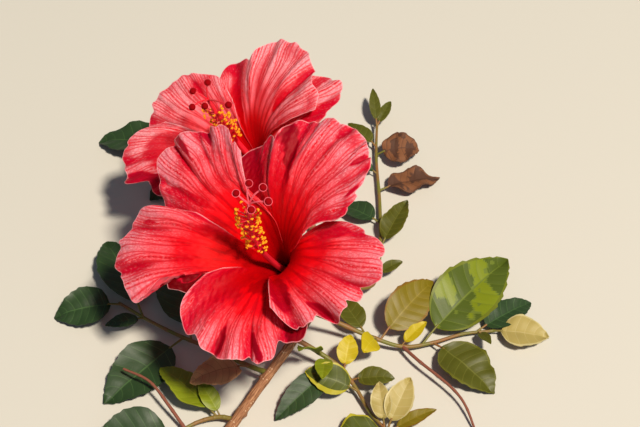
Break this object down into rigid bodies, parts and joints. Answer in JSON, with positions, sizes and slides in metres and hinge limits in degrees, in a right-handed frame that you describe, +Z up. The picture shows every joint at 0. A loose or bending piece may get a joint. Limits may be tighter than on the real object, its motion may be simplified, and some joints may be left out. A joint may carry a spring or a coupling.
{
  "type": "cut hibiscus flowering branch",
  "caption": "Cut woody branch lying on its leafy side shoots, forking to open red funnel-shaped blooms with overlapping ruffled petals and long stamen columns.",
  "frame": {"origin": "middle of the branch's box, on the ground it lies on", "axes": "+Z up; the blooms lean towards -X and -Y, the cut end of the stem points towards -Y"},
  "size_m": [0.2465, 0.2554, 0.1301],
  "materials": {
    "petal": "matte",
    "column": "satin",
    "anther": "matte",
    "calyx": "matte",
    "green_stalk": "satin",
    "bark": "matte",
    "leaf": "satin"
  },
  "bodies": {
    "root": {"main_stem": "bark", "back_stem": "bark", "front_pedicel": "green_stalk", "front_calyx": "calyx", "front_column": "column", "front_petal_upper_left": "petal", "front_petal_upper_right": "petal", "front_petal_lower_right": "petal", "front_petal_bottom": "petal", "front_petal_left": "petal", "back_pedicel": "green_stalk", "back_calyx": "calyx", "back_column": "column", "back_petal_upper_left": "petal", "back_petal_upper_right": "petal", "back_petal_lower_right": "petal", "back_petal_bottom": "petal", "back_petal_left": "petal", "right_shoot": "leaf", "outer_right_shoot": "leaf", "lower_right_shoot": "leaf", "lower_left_shoot": "leaf", "left_shoot": "leaf", "back_shoot": "leaf"}
  },
  "joints": []
}
